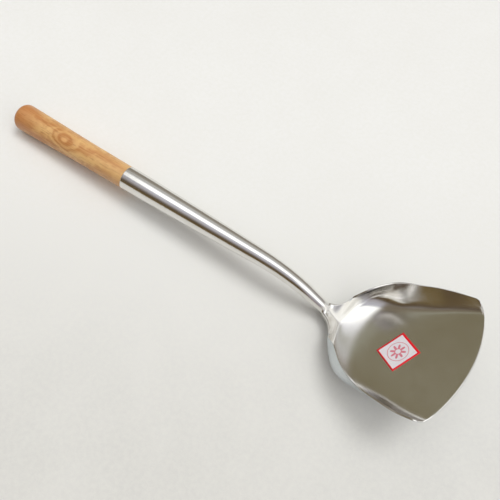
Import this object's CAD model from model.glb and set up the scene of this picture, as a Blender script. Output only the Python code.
# %% [markdown]
# A wok spatula: a wide pressed steel blade, a steel shank rolled from the same sheet, and a turned
# wooden grip. The measured solids are loaded first. The grip here is a smoothed copy of its solid, and
# the steel is made again from the same lines and sections, because bright metal shows every facet.

# %% Load the measured solids
import bpy, bmesh, math
from mathutils import Matrix, Vector
from mathutils.bvhtree import BVHTree


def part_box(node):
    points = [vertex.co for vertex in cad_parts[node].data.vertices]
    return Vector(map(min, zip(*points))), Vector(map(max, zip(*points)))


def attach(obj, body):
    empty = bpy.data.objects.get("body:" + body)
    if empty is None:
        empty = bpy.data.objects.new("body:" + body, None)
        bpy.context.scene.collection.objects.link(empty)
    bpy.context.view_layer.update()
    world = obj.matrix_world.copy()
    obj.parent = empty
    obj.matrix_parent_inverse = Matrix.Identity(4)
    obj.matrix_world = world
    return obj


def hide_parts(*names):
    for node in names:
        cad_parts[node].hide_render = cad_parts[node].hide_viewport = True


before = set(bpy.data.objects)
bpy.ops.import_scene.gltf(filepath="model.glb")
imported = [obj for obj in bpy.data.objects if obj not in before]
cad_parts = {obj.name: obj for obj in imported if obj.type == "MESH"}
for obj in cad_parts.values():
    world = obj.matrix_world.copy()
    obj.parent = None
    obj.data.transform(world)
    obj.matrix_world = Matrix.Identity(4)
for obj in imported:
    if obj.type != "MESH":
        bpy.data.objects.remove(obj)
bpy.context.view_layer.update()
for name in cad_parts:
    low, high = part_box(name)
    print(name, [round(1000 * value, 1) for value in low], [round(1000 * value, 1) for value in high])

# %% [markdown]
# The camera stands over the near side of the blade and looks down at the spatula, a little turned,
# the way a person photographs something laid on a table. Its place, tilt and roll are solved from
# the outline of the real one, which is why they aren't round numbers.

# %% Camera
FOCAL_MM, SENSOR_MM = 42.08, 36.0
CAMERA_PLACE = Vector((0.13642, -0.19291, 0.46355))
CAMERA_DOWN, CAMERA_TURN, CAMERA_ROLL = (math.radians(angle) for angle in (63.32, 27.404, 7.504))

level = Vector((math.cos(CAMERA_TURN), math.sin(CAMERA_TURN), 0.0))
sight = Vector((-math.sin(CAMERA_TURN) * math.cos(CAMERA_DOWN),
                math.cos(CAMERA_TURN) * math.cos(CAMERA_DOWN), -math.sin(CAMERA_DOWN)))
upright = level.cross(sight)
right = level * math.cos(CAMERA_ROLL) + upright * math.sin(CAMERA_ROLL)
up = upright * math.cos(CAMERA_ROLL) - level * math.sin(CAMERA_ROLL)

camera_data = bpy.data.cameras.new("camera")
camera_data.lens, camera_data.sensor_width = FOCAL_MM, SENSOR_MM
camera_data.clip_start, camera_data.clip_end = 0.01, 50.0
camera = bpy.data.objects.new("camera", camera_data)
bpy.context.collection.objects.link(camera)
camera.matrix_world = Matrix.Translation(CAMERA_PLACE) @ Matrix((right, up, -sight)).transposed().to_4x4()
bpy.context.scene.camera = camera
print("the camera looks along", [round(value, 3) for value in sight])

# %% [markdown]
# Nodes are added in many places below, so a few small helpers come first. One adds a node with its
# settings and takes either a number or another node's output for each input, and the others make
# the mixes, layers and ramps that nearly every finish here needs.

# %% Helpers for nodes
def add(tree, kind, inputs=None, **settings):
    made = tree.nodes.new(kind)
    for key, value in settings.items():
        setattr(made, key, value)
    for key, value in (inputs or {}).items():
        if isinstance(value, bpy.types.NodeSocket):
            tree.links.new(value, made.inputs[key])
        else:
            made.inputs[key].default_value = value
    return made


def calc(tree, operation, first, second=0.5, third=0.5):
    inputs = {0: first, 1: second, 2: third}
    return add(tree, "ShaderNodeMath", inputs, operation=operation).outputs[0]


def spread(tree, value, low, high, start=0.0, end=1.0):
    limits = {"Value": value, "From Min": low, "From Max": high, "To Min": start, "To Max": end}
    return add(tree, "ShaderNodeMapRange", limits, interpolation_type="SMOOTHSTEP").outputs["Result"]


def mix(tree, share, first, second):
    inputs = {"Factor": share, "A": first, "B": second}
    made = add(tree, "ShaderNodeMix", data_type="RGBA")
    for socket in made.inputs:
        if socket.enabled and socket.name in inputs:
            value = inputs[socket.name]
            if isinstance(value, bpy.types.NodeSocket):
                tree.links.new(value, socket)
            else:
                socket.default_value = value
    return next(socket for socket in made.outputs if socket.enabled)


def layer(tree, below, cover, share, colour):
    return mix(tree, calc(tree, "MULTIPLY", cover, share), below, colour)


def ramp(tree, value, stops, joined):
    made = add(tree, "ShaderNodeValToRGB", {"Fac": value})
    made.color_ramp.interpolation = joined
    while len(made.color_ramp.elements) < len(stops):
        made.color_ramp.elements.new(0.5)
    for element, (place, colour) in zip(made.color_ramp.elements, stops):
        element.position = place
        element.color = colour
    return made.outputs["Color"]


def srgb(red, green, blue):
    def linear(level):
        level = level / 255.0
        return level / 12.92 if level <= 0.04045 else ((level + 0.055) / 1.055) ** 2.4
    return (linear(red), linear(green), linear(blue), 1.0)


def finish(name):
    made = bpy.data.materials.new(name)
    made.use_nodes = True
    made.node_tree.nodes.clear()
    return made, made.node_tree


def surface(tree, **inputs):
    named = {key.replace("_", " ").title(): value for key, value in inputs.items()}
    shader = add(tree, "ShaderNodeBsdfPrincipled", named)
    add(tree, "ShaderNodeOutputMaterial", {"Surface": shader.outputs[0]})


def bump(tree, height, strength, distance):
    inputs = {"Height": height, "Strength": strength, "Distance": distance}
    return add(tree, "ShaderNodeBump", inputs).outputs[0]


print("a mid grey written as 128 is", [round(value, 3) for value in srgb(128, 128, 128)[:3]])

# %% [markdown]
# Some effects are wanted on more than one material: soft clouding, fine lines that run one way, and
# tiny specks. Each is a node group with a place and a few named numbers as inputs, so that every
# material can use it at its own scale.

# %% Shared effects as node groups
def group(name, output, numbers):
    tree = bpy.data.node_groups.new(name, "ShaderNodeTree")
    tree.interface.new_socket(name="Place", in_out="INPUT", socket_type="NodeSocketVector")
    for socket_name, default in numbers.items():
        socket = tree.interface.new_socket(name=socket_name, in_out="INPUT", socket_type="NodeSocketFloat")
        socket.default_value = default
    tree.interface.new_socket(name=output, in_out="OUTPUT", socket_type="NodeSocketFloat")
    return tree, add(tree, "NodeGroupInput").outputs


# Clouding: two sizes of noise, so that no patch repeats at one scale
clouding, ins = group("clouding", "Cloud", {"Per Metre": 20.0, "Low": 0.35, "High": 0.65})
place, per_metre = ins["Place"], ins["Per Metre"]
finer_scale = calc(clouding, "MULTIPLY", per_metre, 3.7)
broad = add(clouding, "ShaderNodeTexNoise", {"Vector": place, "Scale": per_metre, "Detail": 3.0})
finer = add(clouding, "ShaderNodeTexNoise", {"Vector": place, "Scale": finer_scale, "Detail": 2.0})
both = calc(clouding, "MULTIPLY_ADD", finer.outputs["Fac"], 0.35,
            calc(clouding, "MULTIPLY", broad.outputs["Fac"], 0.65))
add(clouding, "NodeGroupOutput", {"Cloud": spread(clouding, both, ins["Low"], ins["High"])})

# Lines: noise squeezed across and stretched along X, as a belt, a lathe or growing wood leaves them
lines, ins = group("fine_lines", "Lines", {"Per Metre": 1500.0, "Stretch": 0.02})
squeeze = add(lines, "ShaderNodeCombineXYZ", {"X": ins["Stretch"], "Y": 1.0, "Z": 1.0})
squeezed = add(lines, "ShaderNodeVectorMath", {0: ins["Place"], 1: squeeze.outputs[0]}, operation="MULTIPLY")
strands = add(lines, "ShaderNodeTexNoise", {"Vector": squeezed.outputs[0], "Scale": ins["Per Metre"],
                                            "Detail": 3.0, "Roughness": 0.65})
add(lines, "NodeGroupOutput", {"Lines": spread(lines, strands.outputs["Fac"], 0.3, 0.7)})

# Specks: the hearts of small cells, of which only a share is kept
specks, ins = group("specks", "Specks", {"Per Metre": 300.0, "Kept": 0.1, "Size": 0.15})
cells = add(specks, "ShaderNodeTexVoronoi", {"Vector": ins["Place"], "Scale": ins["Per Metre"]})
draw = add(specks, "ShaderNodeSeparateXYZ", {"Vector": cells.outputs["Color"]})
kept = calc(specks, "LESS_THAN", draw.outputs["X"], ins["Kept"])
inner_size = calc(specks, "MULTIPLY", ins["Size"], 0.4)
heart = spread(specks, cells.outputs["Distance"], ins["Size"], inner_size)
add(specks, "NodeGroupOutput", {"Specks": calc(specks, "MULTIPLY", kept, heart)})


def effect(tree, which, place, **inputs):
    values = {key.replace("_", " ").title(): value for key, value in inputs.items()}
    return add(tree, "ShaderNodeGroup", {"Place": place, **values}, node_tree=which).outputs[0]


print("shared effects:", [tree.name for tree in bpy.data.node_groups])

# %% [markdown]
# The steel is one flat sheet, rolled into a tube at one end and pressed into a pan at the other, so it
# is made here from a grid. Its lines and sections are read from short tables. A row is a place, followed
# by what was measured there, and a smooth curve that is level wherever the numbers turn back joins them.

# %% Curves from tables
def curve(table, at, column=1):
    places, values = [row[0] for row in table], [row[column] for row in table]
    steps = [(v1 - v0) / (p1 - p0) for p0, p1, v0, v1 in zip(places, places[1:], values, values[1:])]
    slopes = [(before + after) / 2 if before * after > 0 else 0.0 for before, after in zip(steps, steps[1:])]
    slopes = [steps[0]] + slopes + [steps[-1]]
    at = min(max(at, places[0]), places[-1])
    i = max(k for k in range(len(steps)) if places[k] <= at)
    width = places[i + 1] - places[i]
    share = (at - places[i]) / width
    value = values[i] + (values[i + 1] - values[i]) * share * share * (3 - 2 * share)
    return value + width * share * (1 - share) * ((1 - share) * slopes[i] - share * slopes[i + 1])


def ease(value, low, high):
    share = min(max((value - low) / (high - low), 0.0), 1.0)
    return share * share * (3 - 2 * share)


def arc(radius, start, turn):
    end = start + turn
    return radius * (math.sin(end) - math.sin(start)), radius * (math.cos(start) - math.cos(end))


print("half way through an ease is", ease(0.5, 0.0, 1.0))

# %% [markdown]
# Two lines carry the sheet. The handle's line rises gently from the butt and bends down into the neck.
# The floor's line starts at the heel, which lies on the table, curves up and runs on to the front edge.
# Each gives, for a distance along it, how far forward and how high that is, and the angle there.

# %% The handle's line and the floor's line
RISE, FALL = math.radians(3.8), math.radians(31.0)
LIFT, RAMP = math.radians(37.0), math.radians(44.0)
GRIP_LENGTH, STRAIGHT, BUTT_HEIGHT, SHEET, FLARE = 0.1312, 0.2731, 0.01227, 0.0012, 0.0353
NECK_RADIUS, HEEL_RADIUS, RAMP_RADIUS = 0.100, 0.040, 0.004
HEEL_FLAT, FLOOR_RUN, FLOOR_TURN = 0.0029, 0.0869, math.radians(6.0)
NECK_ARC = NECK_RADIUS * (RISE + FALL)
HEEL_ARC = HEEL_RADIUS * LIFT
BLADE = HEEL_FLAT + HEEL_ARC + FLOOR_RUN


def handle_line(along):
    straight, turn = min(along, STRAIGHT), min(max(along - STRAIGHT, 0.0), NECK_ARC) / NECK_RADIUS
    ahead, above = arc(-NECK_RADIUS, RISE, -turn)
    beyond, angle = max(along - STRAIGHT - NECK_ARC, 0.0), RISE - turn
    return (straight * math.cos(RISE) + ahead + beyond * math.cos(angle),
            BUTT_HEIGHT + straight * math.sin(RISE) + above + beyond * math.sin(angle), angle)


def floor_line(along):
    if along < 0.0:
        bent = min(-along, RAMP_RADIUS * RAMP)
        back, above = arc(RAMP_RADIUS, 0.0, bent / RAMP_RADIUS)
        beyond = -along - bent
        return -back - beyond * math.cos(RAMP), SHEET + above + beyond * math.sin(RAMP), -bent / RAMP_RADIUS
    angle = min(max(along - HEEL_FLAT, 0.0), HEEL_ARC) / HEEL_RADIUS
    ahead, above = arc(HEEL_RADIUS, 0.0, angle)
    turn = max(along - HEEL_FLAT - HEEL_ARC, 0.0) * FLOOR_TURN / FLOOR_RUN
    far, higher = arc(FLOOR_RUN / FLOOR_TURN, LIFT, turn)
    return min(along, HEEL_FLAT) + ahead + far, SHEET + above + higher, angle + turn


HEEL = handle_line(STRAIGHT + NECK_ARC)[0] - floor_line(-FLARE)[0]
MIDDLE = (HEEL + floor_line(BLADE)[0] + SHEET * math.sin(LIFT + FLOOR_TURN)) / 2
print("the spatula is", round(2 * MIDDLE, 4), "m long, its heel", round(HEEL, 4), "m from the butt")

# %% [markdown]
# Across the sheet there are three kinds of section, each given as half a section, from the middle of
# the sheet out to its cut edge. The shank is a ring with its seam underneath. The neck is a shoulder
# with a sunken middle and edges rolled down, and it widens from the ring to the blade.

# %% The ring and the shoulder
HALF = 20
TUBE_RADIUS, NARROWED_BY, SEAM = 0.0109, 0.0053, 0.0004
SHANK_TAPER = ((0.0, 0.0), (0.1, 0.03), (0.2, 0.13), (0.4, 0.31), (0.6, 0.545), (0.8, 0.80), (1.0, 1.0))

# Each row: place along the flare, then shares for the crest's half width and height and the rolled edge
SHOULDER = ((-1.0, 0.070, -0.09, 0.36), (-0.55, 0.095, 0.04, 0.24), (-0.4, 0.128, 0.165, 0.17),
            (-0.226, 0.241, 0.32, 0.11), (-0.084, 0.362, 0.47, 0.07), (0.0, 0.40, 0.50, 0.05))
WIDEST, HIGHEST = 0.0547, 0.0292
CREST_STEPS, ROLL_STEPS, ROLL_RADIUS, SUNKEN = 11, 6, 0.0018, 1.3


def shank_section(along):
    forward, up, angle = handle_line(along)
    share = (along - GRIP_LENGTH) / (STRAIGHT - GRIP_LENGTH + NECK_ARC)
    radius = TUBE_RADIUS - NARROWED_BY * curve(SHANK_TAPER, share)
    turns = [(math.pi - SEAM / 2 / radius) * k / HALF for k in range(HALF + 1)]
    return [Vector((forward - radius * math.cos(turn) * math.sin(angle), radius * math.sin(turn),
                    up + radius * math.cos(turn) * math.cos(angle))) for turn in turns]


def shoulder_section(along):
    crest, height, roll = (size * curve(SHOULDER, along / FLARE, column)
                           for column, size in ((1, WIDEST), (2, HIGHEST), (3, HIGHEST)))
    forward, up, _ = floor_line(along)
    drop = min(ROLL_RADIUS, roll)
    hem_steps = HALF - CREST_STEPS - ROLL_STEPS
    points = []
    for k in range(CREST_STEPS + 1):
        points.append((crest * k / CREST_STEPS, height * (k / CREST_STEPS) ** SUNKEN))
    for k in range(1, ROLL_STEPS + 1):
        turn = math.pi / 2 * k / ROLL_STEPS
        points.append((crest + ROLL_RADIUS * math.sin(turn), height - drop * (1 - math.cos(turn))))
    for k in range(1, hem_steps + 1):
        points.append((crest + ROLL_RADIUS, height - drop - (roll - drop) * k / hem_steps))
    return [Vector((HEEL + forward, across, up + lift)) for across, lift in points]


print("each half section has", HALF + 1, "points")

# %% [markdown]
# The blade's section is round at the rear, and towards the front a clear fold parts its flat floor from
# straight walls. So both outlines are drawn finely, points are spaced along each by the length of metal
# and not by width, and the section lies between the two. The far side is pressed more than the near.

# %% The blade's section
FLOOR_STEPS, FLOOR_SHARE, FINE = 7, 0.58, 160

# Each row: the rim's place along the floor, then shares for its half width and height
BLADE_RIM = ((0.0, 0.425, 0.66), (0.013, 0.442, 0.81), (0.0285, 0.472, 0.905), (0.048, 0.533, 0.955),
             (0.0915, 0.643, 0.975), (0.184, 0.775, 1.0), (0.325, 0.868, 0.808), (0.457, 0.929, 0.64),
             (0.602, 0.973, 0.517), (0.694, 0.996, 0.418), (0.773, 1.0, 0.332), (0.860, 0.994, 0.265),
             (0.866, 0.993, 0.26), (0.8909, 0.934, 0.03))
WALL_LEAN = ((0.0, 0.0), (0.165, 0.12), (0.32, 0.3), (0.6, 0.7), (0.79, 0.96), (1.0, 1.0))
FULL_SWELL = 0.0088
SWELL = ((0.0, 0.5), (0.02, 0.8), (0.05, 1.0), (0.165, 0.85), (0.37, 0.18), (0.58, -0.17), (0.74, -0.28),
         (0.9, -0.28), (1.0, -0.07))
ROUNDNESS = ((0.0, 2.4), (0.12, 2.5), (0.25, 3.1), (0.47, 4.6), (0.85, 6.0), (1.0, 6.0))
FOLD = ((0.22, 0.74), (0.32, 0.765), (0.44, 0.785), (0.565, 0.80), (0.68, 0.835), (0.765, 0.863),
        (0.87, 0.895), (1.0, 0.92))
FOLD_ROUND, FOLD_SHARPENED = 0.20, 0.15
SHARPENS_FROM, SHARPENS_TO = 0.31, 0.67

# Each side: where pressing starts and ends along the rim, and how far it goes
PRESSED = {"far": (0.02, 0.34, 1.0), "near": (0.14, 0.56, 0.35)}


def spaced(outline):
    run = [0.0]
    for before, after in zip(outline, outline[1:]):
        run.append(run[-1] + (after - before).length)
    wall_steps = HALF - FLOOR_STEPS
    shares = [FLOOR_SHARE * k / FLOOR_STEPS for k in range(FLOOR_STEPS)]
    shares += [FLOOR_SHARE + (1 - FLOOR_SHARE) * k / wall_steps for k in range(wall_steps + 1)]
    points = []
    for share in shares:
        i = max(k for k in range(len(run) - 1) if run[k] <= share * run[-1])
        points.append(outline[i].lerp(outline[i + 1], (share * run[-1] - run[i]) / (run[i + 1] - run[i])))
    return points


def round_outline(half_width, height, power, swell):
    turns = [math.pi / 2 * k / FINE for k in range(FINE + 1)]
    return [Vector((half_width * math.sin(turn) ** (2 / power) + swell * math.sin(2 * turn),
                    height * (1 - max(math.cos(turn), 0.0) ** (2 / power)))) for turn in turns]


def folded_outline(half_width, height, fold, roundness):
    def risen(share):
        return share - fold + math.hypot(share - fold, roundness)
    outline = []
    for k in range(FINE + 1):
        share = 2 * k / FINE
        up = (risen(share) - risen(0.0)) / (risen(2.0) - risen(0.0))
        outline.append(Vector((half_width * (share - up), height * up)))
    return outline


def blade_section(along, rim_along, side):
    at = rim_along / BLADE
    half_width, height = WIDEST * curve(BLADE_RIM, at), HIGHEST * curve(BLADE_RIM, at, 2)
    roundness = FOLD_ROUND - FOLD_SHARPENED * ease(at, SHARPENS_FROM, SHARPENS_TO)
    soft = round_outline(half_width, height, curve(ROUNDNESS, along / BLADE), FULL_SWELL * curve(SWELL, at))
    crisp = folded_outline(half_width, height, curve(FOLD, at), roundness)
    start, end, most = PRESSED[side]
    pressed = most * ease(at, start, end)
    points = []
    for across, rise in (one.lerp(other, pressed) for one, other in zip(spaced(soft), spaced(crisp))):
        foot = along - (along - rim_along) * min(across / half_width, 1.0) ** 2
        forward, up, angle = floor_line(foot)
        lean = angle * curve(WALL_LEAN, foot / BLADE)
        points.append(Vector((HEEL + forward - rise * math.sin(lean), across, up + rise * math.cos(lean))))
    return points


print("the rim is highest", round(1000 * HIGHEST, 1), "mm over the floor")

# %% [markdown]
# The sections follow one another from the shank's mouth to the front edge. Between the ring and the
# shoulder, and between the shoulder and the blade, one turns smoothly into the next. A hammered neck
# has no sudden places, so each row there is also evened out a little against its neighbours.

# %% Rows of the sheet
# MOUTH_STEP puts one row close to the cut mouth, and CLOSER crowds the blade's rows at the heel
SHANK_ROWS, NECK_ROWS, FLARE_ROWS, BLADE_ROWS = 11, 9, 20, 26
MOUTH_STEP, END_STEP, CLOSER = 0.08, 0.0011, 1.4
UNROLLED_AT, TURN_UP, RIM_BEHIND = 0.46, 0.0045, 0.1091
EVENED_BEFORE, EVENED_AFTER, EVENING = 2, 12, 5


def sheet_rows(side):
    shank = STRAIGHT - GRIP_LENGTH
    steps = (0, MOUTH_STEP, *range(1, SHANK_ROWS + 1))
    rows = [shank_section(GRIP_LENGTH + shank * k / SHANK_ROWS) for k in steps]
    rows += [shank_section(STRAIGHT + NECK_ARC * k / NECK_ROWS) for k in range(1, NECK_ROWS + 1)]
    evened = range(len(rows) - EVENED_BEFORE, len(rows) + FLARE_ROWS + EVENED_AFTER)
    heel = blade_section(0.0, 0.0, side)
    for k in range(1, FLARE_ROWS + 1):
        along = FLARE * (k / FLARE_ROWS - 1)
        unrolled, turned_up = ease(along + FLARE, 0.0, UNROLLED_AT * FLARE), ease(along, -TURN_UP, 0.0)
        tube, shoulder = shank_section(STRAIGHT + NECK_ARC + along + FLARE), shoulder_section(along)
        shift = Vector((shoulder[0].x - heel[0].x, 0.0, shoulder[0].z - heel[0].z))
        rows.append([ring.lerp(edge, unrolled).lerp(ahead + shift, turned_up)
                     for ring, edge, ahead in zip(tube, shoulder, heel)])
    for k in range(1, BLADE_ROWS + 1):
        along = (BLADE - 3 * END_STEP) * (k / BLADE_ROWS) ** CLOSER
        rows.append(blade_section(along, along - RIM_BEHIND * BLADE * ease(along, 0.0, BLADE), side))
    for back in (2 * END_STEP, END_STEP, 0.0):
        rows.append(blade_section(BLADE - back, (1 - RIM_BEHIND) * BLADE - back, side))
    for _ in range(EVENING):
        smoother = list(rows)
        for i in evened:
            neighbours = zip(rows[i - 1], rows[i], rows[i + 1])
            smoother[i] = [here.lerp((before + after) / 2, 0.5) for before, here, after in neighbours]
        rows = smoother
    return rows


sides = {side: sheet_rows(side) for side in PRESSED}
rows = sides["far"]
print(len(rows), "rows from", round(rows[0][0].x - MIDDLE, 3), "to", round(rows[-1][0].x - MIDDLE, 3), "m")

# %% [markdown]
# The floor of the blade is satin and the rest is polished. To tell them apart, a point of the sheet is
# compared with the sheet's own middle line, which runs down the shank, round the neck and up the
# floor: what lies close to that line, past the neck, is floor.

# %% The satin floor
MIDDLE_LINE = ((-0.0952, 0.0218), (0.0470, 0.0312), (0.0660, 0.0316), (0.0840, 0.0290), (0.1010, 0.0222),
               (0.1180, 0.0120), (0.1311, 0.0016), (0.1370, 0.0013), (0.1433, 0.0023), (0.1506, 0.0048),
               (0.1582, 0.0093), (0.1659, 0.0152), (0.1742, 0.0217), (0.1831, 0.0288), (0.1923, 0.0365),
               (0.2246, 0.0651))
SATIN_HEIGHT, SATIN_FADE = 0.0065, 0.005
SATIN_STARTS, SATIN_FULL = 0.134, 0.150


def satin_at(point):
    nearest = []
    for (x0, z0), (x1, z1) in zip(MIDDLE_LINE, MIDDLE_LINE[1:]):
        run, rise, x, z = x1 - x0, z1 - z0, point.x - x0, point.z - z0
        length = math.hypot(run, rise)
        share = min(max((x * run + z * rise) / length ** 2, 0.0), 1.0)
        nearest.append((math.hypot(x - share * run, z - share * rise), (z * run - x * rise) / length))
    above = min(nearest, key=lambda found: found[0])[1]
    low = min(max((SATIN_HEIGHT - above) / SATIN_FADE, 0.0), 1.0)
    return low * ease(point.x, SATIN_STARTS, SATIN_FULL)


for where, point in (("shank", Vector((0.0, 0.0, 0.03))), ("floor", Vector((0.18, 0.0, 0.026)))):
    print("the", where, "is satin by a share of", round(satin_at(point), 2))

# %% [markdown]
# The grid gets a row of vertices for every section, and each vertex moves to its place on it. Blender's
# Solidify then gives the sheet its thickness, and creases along the cut edge keep it crisp when
# Subdivision Surface rounds the rest. The distances along and across the sheet are kept for later.

# %% The pressed sheet
def object_from(shape, name):
    for face in shape.faces:
        face.smooth = True
    mesh = bpy.data.meshes.new(name)
    shape.to_mesh(mesh)
    shape.free()
    made = bpy.data.objects.new(name, mesh)
    bpy.context.collection.objects.link(made)
    return made


def subdivide(piece):
    smooth = piece.modifiers.new("smooth", "SUBSURF")
    smooth.levels = smooth.render_levels = 2


def sheet_piece(name, node_name):
    shape = bmesh.new()
    bmesh.ops.create_grid(shape, x_segments=len(rows) - 1, y_segments=2 * HALF, size=1.0)
    travelled = [0.0]
    for before, after in zip(rows, rows[1:]):
        travelled.append(travelled[-1] + (after[0] - before[0]).length)
    reached = {side: [[0.0] for _ in rows] for side in sides}
    for side in sides:
        for row, reach in zip(sides[side], reached[side]):
            for before, after in zip(row, row[1:]):
                reach.append(reach[-1] + (after - before).length)
    places, satins = [], []
    for vertex in shape.verts:
        i = round((vertex.co.x + 1) / 2 * (len(rows) - 1))
        k = round(vertex.co.y * HALF)
        side, sign = ("far", 1.0) if k > 0 else ("near", -1.0)
        flat = sides[side][i][abs(k)]
        vertex.co = Vector((flat.x - MIDDLE, sign * flat.y, flat.z))
        places.append((travelled[i], sign * reached[side][i][abs(k)], 0.0))
        satins.append(satin_at(vertex.co))
    piece = object_from(shape, name)
    sheet = piece.modifiers.new("sheet", "SOLIDIFY")
    sheet.thickness, sheet.offset, sheet.use_quality_normals = SHEET, -1.0, True
    sheet.edge_crease_inner = sheet.edge_crease_outer = 1.0
    sheet.material_offset = 1
    subdivide(piece)
    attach(piece, "root")
    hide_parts(node_name)
    print(name, "is a grid of", len(piece.data.polygons), "faces")
    return piece, places, satins


steel, places, satins = sheet_piece("pressed_steel_sheet", "blade_with_shank")

# %% [markdown]
# The measured grip arrives as loose triangles. A copy of it is merged and its triangles are joined
# back into quads, because a smooth surface needs neighbours that share their corners. Edges that
# really are sharp are creased so that subdivision keeps them.

# %% A smooth copy of the grip
MERGED, SHARP, SAME_FACE, SAME_SHAPE = 0.00001, math.radians(40), math.radians(40), math.radians(75)


def smooth_copy(node_name, name):
    shape = bmesh.new()
    shape.from_mesh(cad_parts[node_name].data)
    bmesh.ops.remove_doubles(shape, verts=shape.verts[:], dist=MERGED)
    bmesh.ops.join_triangles(shape, faces=shape.faces[:], angle_face_threshold=SAME_FACE,
                             angle_shape_threshold=SAME_SHAPE)
    crease = shape.edges.layers.float.new("crease_edge")
    for edge in shape.edges:
        edge.smooth = len(edge.link_faces) == 2 and edge.calc_face_angle() < SHARP
        edge[crease] = 0.0 if edge.smooth else 1.0
    piece = object_from(shape, name)
    subdivide(piece)
    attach(piece, "root")
    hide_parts(node_name)
    quads = sum(len(face.vertices) == 4 for face in piece.data.polygons)
    print(name, len(piece.data.polygons), "faces, of which", quads, "quads")
    return piece


grip = smooth_copy("wooden_grip", "turned_wooden_grip")

# %% [markdown]
# Polishing marks follow the metal, not the room: along the shank on the tube, and up the floor on
# the blade. So every vertex of the sheet keeps its place on it, how far along and how far across, in
# metres, as an attribute. A second attribute says where the satin floor of the blade is.

# %% Places on the sheet
def keep(piece, attribute, kind, field, values):
    made = piece.data.attributes.new(attribute, kind, "POINT")
    for item, value in zip(made.data, values):
        setattr(item, field, value)


keep(steel, "place_on_sheet", "FLOAT_VECTOR", "vector", places)
keep(steel, "satin", "FLOAT", "value", satins)
print("the sheet runs", round(max(place[0] for place in places), 3), "m along its centre line")

# %% [markdown]
# The steel is one sheet with two finishes. The shank and the blade's walls are polished bright with
# faint lengthwise lines, and the floor of the blade is satin. The underside is left unpolished, so it
# is duller and bluer. Real stainless isn't one grey: it clouds a little, it carries hairline
# scratches, and a few dark pits sit in it.

# %% Steel
PIT_BROWN, SCRATCH_TURN = (0.12, 0.10, 0.08, 1.0), 0.9


def steel_finish(name, bright, dark, polished, dull):
    made, tree = finish(name)
    on_sheet = add(tree, "ShaderNodeAttribute", attribute_name="place_on_sheet").outputs["Vector"]
    in_part = add(tree, "ShaderNodeTexCoord").outputs["Object"]
    is_satin = add(tree, "ShaderNodeAttribute", attribute_name="satin").outputs["Fac"]
    brushed = effect(tree, lines, on_sheet, per_metre=2600.0, stretch=0.012)
    clouds = effect(tree, clouding, in_part, per_metre=24.0, low=0.38, high=0.66)
    pits = effect(tree, specks, in_part, per_metre=42.0, kept=0.05, size=0.05)
    crossed = add(tree, "ShaderNodeMapping", {"Vector": on_sheet, "Rotation": (0.0, 0.0, SCRATCH_TURN)})
    scratches = effect(tree, lines, crossed.outputs[0], per_metre=1500.0, stretch=0.008)
    hairlines = spread(tree, scratches, 0.80, 0.99)

    tone = layer(tree, mix(tree, clouds, bright, dark), pits, 0.8, PIT_BROWN)
    dullness = spread(tree, is_satin, 0.0, 1.0, polished, dull)
    dullness = calc(tree, "MULTIPLY_ADD", brushed, 0.03, dullness)
    dullness = calc(tree, "MULTIPLY_ADD", hairlines, 0.05, dullness)
    relief = bump(tree, calc(tree, "MULTIPLY_ADD", hairlines, -0.15, brushed), 0.25, 0.00002)
    surface(tree, base_color=tone, metallic=1.0, roughness=dullness, normal=relief)
    steel.data.materials.append(made)
    print(name, "has", len(tree.nodes), "nodes")


steel_finish("polished_and_satin_steel", (0.80, 0.79, 0.77, 1.0), (0.75, 0.735, 0.70, 1.0), 0.12, 0.19)
steel_finish("unpolished_steel_underside", (0.66, 0.70, 0.72, 1.0), (0.58, 0.62, 0.64, 1.0), 0.26, 0.34)

# %% [markdown]
# The grip is turned from a pale fruitwood-like timber. Its grain runs lengthwise in broad warm
# bands with fine fibres and short pores, and one small knot sits on its upper side, with the grain
# swirling round it. The bands come from a number that counts across the grain and is pushed
# aside near the knot, so the same lines bend round it as they do in a tree.

# %% The wood's grain
BACK_FROM_KNOT = (0.1631, 0.0047, -0.0269)
KNOT_REACH, KNOT_HEART, KNOT_CORE, KNOT_SCALE = 0.011, 0.0026, 0.0010, (0.55, 1.0, 1.0)
COUNT_ALONG, COUNT_ACROSS, COUNT_UP, COUNT_WARP, COUNT_KNOT = 9.0, 170.0, 90.0, 2.6, 4.4
wood_finish, tree = finish("turned_wood")
in_part = add(tree, "ShaderNodeTexCoord").outputs["Object"]
in_grip = add(tree, "ShaderNodeMapping", {"Vector": in_part, "Rotation": (0.0, RISE, 0.0)}).outputs[0]
from_knot = add(tree, "ShaderNodeMapping", {"Vector": in_part, "Location": BACK_FROM_KNOT}).outputs[0]
stretched = add(tree, "ShaderNodeMapping", {"Vector": from_knot, "Scale": KNOT_SCALE}).outputs[0]
to_knot = add(tree, "ShaderNodeVectorMath", {0: stretched}, operation="LENGTH").outputs["Value"]
near_knot = spread(tree, to_knot, KNOT_REACH, KNOT_CORE)
knot_heart = spread(tree, to_knot, KNOT_HEART, KNOT_CORE)

warp = effect(tree, clouding, in_grip, per_metre=38.0, low=0.2, high=0.8)
grip_place = add(tree, "ShaderNodeSeparateXYZ", {"Vector": in_grip})
along_grip = grip_place.outputs["X"]
count = calc(tree, "MULTIPLY", grip_place.outputs["Z"], COUNT_UP)
for value, per_unit in ((grip_place.outputs["Y"], COUNT_ACROSS), (warp, COUNT_WARP),
                        (near_knot, COUNT_KNOT), (along_grip, COUNT_ALONG)):
    count = calc(tree, "MULTIPLY_ADD", value, per_unit, count)
bands = spread(tree, calc(tree, "SINE", calc(tree, "MULTIPLY", count, 2.2)), -1.0, 1.0)
fibres = effect(tree, lines, in_grip, per_metre=720.0, stretch=0.045)
pores = spread(tree, effect(tree, lines, in_grip, per_metre=1100.0, stretch=0.08), 0.72, 0.95)
patches = effect(tree, clouding, in_grip, per_metre=26.0, low=0.42, high=0.62)
print("the grain has", len(tree.nodes), "nodes")

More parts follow.
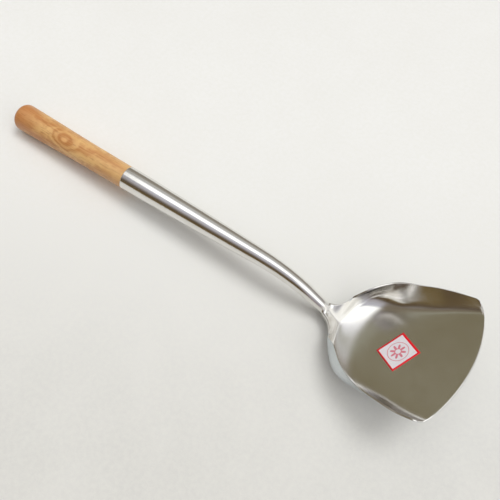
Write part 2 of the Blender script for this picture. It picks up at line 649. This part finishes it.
# %% [markdown]
# The colours go on in layers, as a painter would lay them: the bands first, then each effect with its
# own colour and strength. The butt is redder, and the wood gets paler toward the shank.

# %% The wood's colours
butt = spread(tree, along_grip, -0.178, -0.222)
paler = spread(tree, along_grip, -0.150, -0.065)
wood_tone = mix(tree, bands, srgb(228, 184, 120), srgb(190, 128, 70))
for cover, share, colour in ((patches, 0.6, (196, 128, 76)), (fibres, 0.55, (230, 186, 124)),
                             (pores, 0.45, (158, 98, 58)), (near_knot, 0.6, (184, 116, 60)),
                             (knot_heart, 0.75, (232, 182, 118)), (butt, 0.62, (186, 116, 62)),
                             (paler, 0.35, (232, 200, 142))):
    wood_tone = layer(tree, wood_tone, cover, share, srgb(*colour))
wood_dull = calc(tree, "MULTIPLY_ADD", pores, 0.18, spread(tree, patches, 0.0, 1.0, 0.46, 0.38))
wood_relief = bump(tree, calc(tree, "MULTIPLY_ADD", pores, -0.8, fibres), 0.35, 0.00006)
surface(tree, base_color=wood_tone, roughness=wood_dull, normal=wood_relief, coat_weight=0.12,
        coat_roughness=0.3)
grip.data.materials.append(wood_finish)
print("wood has", len(tree.nodes), "nodes")

# %% [markdown]
# New spatulas carry a square paper sticker on the floor of the blade. It is a fine grid laid on the
# smoothed steel: each of its vertices is dropped on the sheet and lifted by a hair, so the paper
# follows the floor's curve. No red shows in the real steel round it, so mirror images leave it out.

# %% Paper sticker
STICKER_MIDDLE = Vector((0.1791, -0.0033, 0.0261))
STICKER_SIDE, STICKER_THICK, STICKER_STEPS = 0.0259, 0.00009, 24
DROPPED_FROM, HAIR = 0.01, 0.00004
facing = Vector((-0.63, 0.0, 0.777)).normalized()
sticker_x = Vector((0.6638, -0.5177, 0.5411)).normalized()
sticker_y = facing.cross(sticker_x).normalized()

bpy.context.view_layer.update()
sheet_surface = BVHTree.FromObject(steel, bpy.context.evaluated_depsgraph_get())
half = STICKER_SIDE / 2
paper = bmesh.new()
bmesh.ops.create_grid(paper, x_segments=STICKER_STEPS, y_segments=STICKER_STEPS, size=half)
on_paper = paper.loops.layers.uv.new("on_paper")
for face in paper.faces:
    for loop in face.loops:
        loop[on_paper].uv = (loop.vert.co.x, loop.vert.co.y)
for vertex in paper.verts:
    aimed = STICKER_MIDDLE + sticker_x * vertex.co.x + sticker_y * vertex.co.y + facing * DROPPED_FROM
    vertex.co = sheet_surface.ray_cast(aimed, -facing)[0] + facing * HAIR
sticker = object_from(paper, "paper_sticker")
thick = sticker.modifiers.new("paper", "SOLIDIFY")
thick.thickness, thick.offset = STICKER_THICK, 1.0
sticker.visible_glossy = False
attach(sticker, "root")
heights = [1000 * vertex.co.z for vertex in sticker.data.vertices]
print("the sticker lies from", round(min(heights), 1), "to", round(max(heights), 1), "mm up")

# %% [markdown]
# The paper has a red border, a little wider on one side than on the other as cut paper has, and a plain
# pattern of eight petals in a ring. All of it is worked out from the place on the paper, in metres.

# %% Print on the paper
BORDER_TOP, BORDER_FOOT, BORDER_RIGHT, BORDER_LEFT = 0.0019, 0.0014, 0.0017, 0.0015
PETALS, PETAL_HEART, PETAL_SHORT, PETAL_LONG = 8.0, 0.0022, 0.0030, 0.0066
RING_RADIUS, RING_HALF_WIDTH = 0.0086, 0.00025
sticker_finish, tree = finish("printed_paper")
on_paper = add(tree, "ShaderNodeUVMap", uv_map="on_paper").outputs[0]
paper_place = add(tree, "ShaderNodeSeparateXYZ", {"Vector": on_paper})
paper_x, paper_y = paper_place.outputs["X"], paper_place.outputs["Y"]
border = calc(tree, "GREATER_THAN", paper_y, half - BORDER_TOP)
for place, test, limit in ((paper_y, "LESS_THAN", BORDER_FOOT - half),
                           (paper_x, "GREATER_THAN", half - BORDER_RIGHT),
                           (paper_x, "LESS_THAN", BORDER_LEFT - half)):
    border = calc(tree, "MAXIMUM", border, calc(tree, test, place, limit))
outward = add(tree, "ShaderNodeVectorMath", {0: on_paper}, operation="LENGTH").outputs["Value"]
petal = calc(tree, "COSINE", calc(tree, "MULTIPLY", calc(tree, "ARCTAN2", paper_y, paper_x), PETALS))
petals = calc(tree, "MULTIPLY", calc(tree, "GREATER_THAN", outward, PETAL_HEART),
              calc(tree, "LESS_THAN", outward, spread(tree, petal, -1.0, 1.0, PETAL_SHORT, PETAL_LONG)))
from_ring = calc(tree, "ABSOLUTE", calc(tree, "SUBTRACT", outward, RING_RADIUS))
motif = calc(tree, "MAXIMUM", petals, calc(tree, "LESS_THAN", from_ring, RING_HALF_WIDTH))

paper_clouds = effect(tree, clouding, on_paper, per_metre=160.0, low=0.3, high=0.7)
paper_fibres = effect(tree, lines, on_paper, per_metre=3000.0, stretch=0.4)
paper_white = mix(tree, paper_clouds, srgb(250, 245, 250), srgb(243, 237, 244))
printed = layer(tree, paper_white, motif, 0.75, srgb(224, 52, 92))
printed = mix(tree, border, printed, srgb(242, 20, 42))
surface(tree, base_color=printed, roughness=spread(tree, paper_clouds, 0.0, 1.0, 0.42, 0.5),
        normal=bump(tree, paper_fibres, 0.1, 0.00002))
sticker.data.materials.append(sticker_finish)
print("the paper has", len(tree.nodes), "nodes")

# %% [markdown]
# The table is a wide pale sheet of paper-like board. It isn't part of the object, so it is marked
# as stage, but it matters to the picture: its tone falls off toward the near end, as in daylight.

# %% Table
TABLE_HALF, BRIGHT_WAY, DARK_END, BRIGHT_END = 20.0, (-0.46, 0.888, 0.0), -0.26, 0.16
table_finish, tree = finish("pale_board")
in_room = add(tree, "ShaderNodeTexCoord").outputs["Object"]
table_clouds = effect(tree, clouding, in_room, per_metre=9.0, low=0.3, high=0.7)
flecks = effect(tree, clouding, in_room, per_metre=260.0, low=0.3, high=0.7)
away = add(tree, "ShaderNodeVectorMath", {0: in_room, 1: BRIGHT_WAY}, operation="DOT_PRODUCT")
distance_tone = spread(tree, away.outputs["Value"], DARK_END, BRIGHT_END)
board = mix(tree, distance_tone, srgb(209, 208, 203), srgb(240, 240, 237))
board = layer(tree, board, table_clouds, 0.3, srgb(232, 231, 226))
board = layer(tree, board, flecks, 0.35, srgb(230, 230, 222))
surface(tree, base_color=board, roughness=0.7, normal=bump(tree, flecks, 0.1, 0.0002))
table = bmesh.new()
bmesh.ops.create_grid(table, x_segments=8, y_segments=8, size=TABLE_HALF)
table_object = object_from(table, "table")
table_object.data.materials.append(table_finish)
print("the table is", 2 * TABLE_HALF, "m wide")

# %% [markdown]
# Polished steel is a picture of the room. The bands along the shank say what stood round the real
# one: a long bright ceiling overhead, grey beyond it, and something dark brown on the near side.
# So the world is a plain room drawn by direction. Its colours go round the shank's axis,
# and they change toward the grip's end, which the blade's floor shows, and toward the blade's end.

# %% Room light
world = bpy.data.worlds.new("room")
bpy.context.scene.world = world
world.use_nodes = True
tree = world.node_tree
tree.nodes.clear()
toward = add(tree, "ShaderNodeSeparateXYZ", {"Vector": add(tree, "ShaderNodeTexCoord").outputs["Generated"]})
STEEL_SHARE, SWEEP = 0.79, 200
CEILING = (1.55, 1.56, 1.56, 1.0)


def shown_by_steel(red, green, blue):
    return tuple(level / STEEL_SHARE for level in srgb(red, green, blue)[:3]) + (1.0,)


def round_the_shank(*stops):
    tilt = calc(tree, "ARCTAN2", toward.outputs["Y"], toward.outputs["Z"])
    share = calc(tree, "MULTIPLY_ADD", tilt, 1 / math.radians(SWEEP), 0.5)
    placed = [(degrees / SWEEP + 0.5, colour if colour is CEILING else shown_by_steel(*colour))
              for degrees, colour in stops]
    return ramp(tree, share, placed, "EASE")


middle = round_the_shank((-98, (110, 94, 62)), (-85, (105, 90, 60)), (-72, (84, 70, 52)),
                         (-60, (95, 84, 71)), (-50, (125, 119, 116)), (-40, (162, 158, 162)),
                         (-30, (176, 176, 184)), (-19, (180, 180, 189)), (-12, CEILING),
                         (14, CEILING), (22, (224, 224, 228)), (30, (168, 167, 160)),
                         (40, (183, 183, 182)), (50, (165, 160, 156)), (60, (137, 131, 122)),
                         (75, (133, 128, 117)), (92, (125, 119, 107)))
grip_end = round_the_shank((-98, (86, 75, 56)), (-60, (87, 76, 63)), (-40, (110, 100, 85)),
                           (-10, (112, 102, 85)), (10, (121, 115, 99)), (35, (138, 136, 121)),
                           (52, (116, 109, 88)), (92, (112, 105, 83)))
blade_end = round_the_shank((-98, (128, 118, 110)), (-80, (143, 133, 138)), (-62, (150, 145, 150)),
                            (-40, (176, 176, 184)), (-24, CEILING), (14, CEILING),
                            (28, (225, 224, 228)), (45, (172, 170, 168)), (62, (150, 146, 144)),
                            (92, (120, 110, 108)))
room = mix(tree, spread(tree, toward.outputs["X"], -0.45, -0.68), middle, grip_end)
room = mix(tree, spread(tree, toward.outputs["X"], 0.38, 0.58), room, blade_end)
background = add(tree, "ShaderNodeBackground", {"Color": room, "Strength": 1.0})
add(tree, "ShaderNodeOutputWorld", {"Surface": background.outputs[0]})
print("the room has", len(tree.nodes), "nodes")

# %% [markdown]
# The ceiling alone lights everything too evenly. One soft lamp stands just beyond the spatula and high
# up, where the brightest streak on the shank says the real one was, so that the shadows fall on
# the near side and are darkest where the grip and the blade meet the table. The steel's picture of
# the room is complete without it, so the lamp is left out of mirror images.

# %% Lamp
LAMP_TILT, LAMP_AHEAD, LAMP_ASIDE = math.radians(16), 0.2, 0.98
lamp_data = bpy.data.lights.new("soft_lamp", "SUN")
lamp_data.energy, lamp_data.angle = 1.05, math.radians(26)
lamp = bpy.data.objects.new("soft_lamp", lamp_data)
bpy.context.collection.objects.link(lamp)
lamp.visible_glossy = False
lamp_place = Vector((LAMP_AHEAD, LAMP_ASIDE * math.sin(LAMP_TILT), LAMP_ASIDE * math.cos(LAMP_TILT)))
lamp.matrix_world = lamp_place.to_track_quat("Z", "Y").to_matrix().to_4x4()
print("the lamp stands towards", [round(value, 2) for value in lamp_place])

# %% [markdown]
# Last come the plain colour settings, the sizes of the finished object for checking against the
# measured solids, and the call that ends the script.

# %% Sizes and finish
bpy.context.scene.view_settings.view_transform = "Standard"
bpy.context.view_layer.update()
